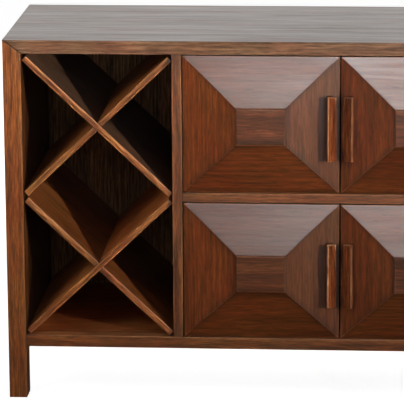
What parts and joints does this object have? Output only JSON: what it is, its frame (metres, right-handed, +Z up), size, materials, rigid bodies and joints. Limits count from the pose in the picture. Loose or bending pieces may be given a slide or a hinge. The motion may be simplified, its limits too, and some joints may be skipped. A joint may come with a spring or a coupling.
{
  "type": "buffet",
  "caption": "Long low wooden buffet: raised-panel doors in the middle, two above and two below, with an open rack of crossed boards for bottles at each end",
  "frame": {"origin": "on the floor, at the middle of the overall width and depth, raised door panels included", "axes": "+X to the right as seen from the front, +Y to the back, +Z up; the doors face -Y"},
  "size_m": [1.616, 0.549, 0.889],
  "materials": {
    "frame_wood": "dark reddish-brown stain, satin",
    "inside_wood": "very dark stain, matte",
    "rack_wood": "reddish-brown stain, satin",
    "door_wood": "reddish-brown stain, satin",
    "handle_wood": "reddish-brown stain, satin, worn arrises",
    "steel": "plain",
    "brass": "plain",
    "black_plastic": "moulded"
  },
  "bodies": {
    "frame": {"top_panel": "frame_wood", "middle_shelf": "frame_wood", "front_bottom_rail": "frame_wood", "left_side_panel": "frame_wood", "right_side_panel": "frame_wood", "side_rails": "frame_wood", "left_partition": "frame_wood", "right_partition": "frame_wood", "front_left_leg": "frame_wood", "front_right_leg": "frame_wood", "back_left_leg": "frame_wood", "back_right_leg": "frame_wood", "bottom_panel": "inside_wood", "back_panel": "inside_wood", "left_upper_cross_board_1": "rack_wood", "left_upper_cross_board_2": "rack_wood", "left_lower_cross_board_1": "rack_wood", "left_lower_cross_board_2": "rack_wood", "right_upper_cross_board_1": "rack_wood", "right_upper_cross_board_2": "rack_wood", "right_lower_cross_board_1": "rack_wood", "right_lower_cross_board_2": "rack_wood", "pivot_bushes": "brass", "magnetic_catches": "black_plastic"},
    "upper_left_door": {"upper_left_door_panel": "door_wood", "upper_left_door_top_facet": "door_wood", "upper_left_door_bottom_facet": "door_wood", "upper_left_door_hinge_facet": "door_wood", "upper_left_door_handle_facet": "door_wood", "upper_left_door_centre_block": "door_wood", "upper_left_door_handle": "handle_wood", "upper_left_door_pivots": "steel", "upper_left_door_strike_plate": "steel"},
    "upper_right_door": {"upper_right_door_panel": "door_wood", "upper_right_door_top_facet": "door_wood", "upper_right_door_bottom_facet": "door_wood", "upper_right_door_hinge_facet": "door_wood", "upper_right_door_handle_facet": "door_wood", "upper_right_door_centre_block": "door_wood", "upper_right_door_handle": "handle_wood", "upper_right_door_pivots": "steel", "upper_right_door_strike_plate": "steel"},
    "lower_left_door": {"lower_left_door_panel": "door_wood", "lower_left_door_top_facet": "door_wood", "lower_left_door_bottom_facet": "door_wood", "lower_left_door_hinge_facet": "door_wood", "lower_left_door_handle_facet": "door_wood", "lower_left_door_centre_block": "door_wood", "lower_left_door_handle": "handle_wood", "lower_left_door_pivots": "steel", "lower_left_door_strike_plate": "steel"},
    "lower_right_door": {"lower_right_door_panel": "door_wood", "lower_right_door_top_facet": "door_wood", "lower_right_door_bottom_facet": "door_wood", "lower_right_door_hinge_facet": "door_wood", "lower_right_door_handle_facet": "door_wood", "lower_right_door_centre_block": "door_wood", "lower_right_door_handle": "handle_wood", "lower_right_door_pivots": "steel", "lower_right_door_strike_plate": "steel"}
  },
  "joints": [
    {"name": "upper_left_door_hinge", "type": "hinge", "parent": "frame", "child": "upper_left_door", "pos_m": [-0.3645, -0.2335, 0.6885], "axis": [0, 0, -1], "range_deg": [0, 105]},
    {"name": "upper_right_door_hinge", "type": "hinge", "parent": "frame", "child": "upper_right_door", "pos_m": [0.3645, -0.2335, 0.6885], "axis": [0, 0, 1], "range_deg": [0, 105]},
    {"name": "lower_left_door_hinge", "type": "hinge", "parent": "frame", "child": "lower_left_door", "pos_m": [-0.3645, -0.2335, 0.3285], "axis": [0, 0, -1], "range_deg": [0, 105]},
    {"name": "lower_right_door_hinge", "type": "hinge", "parent": "frame", "child": "lower_right_door", "pos_m": [0.3645, -0.2335, 0.3285], "axis": [0, 0, 1], "range_deg": [0, 105]}
  ]
}
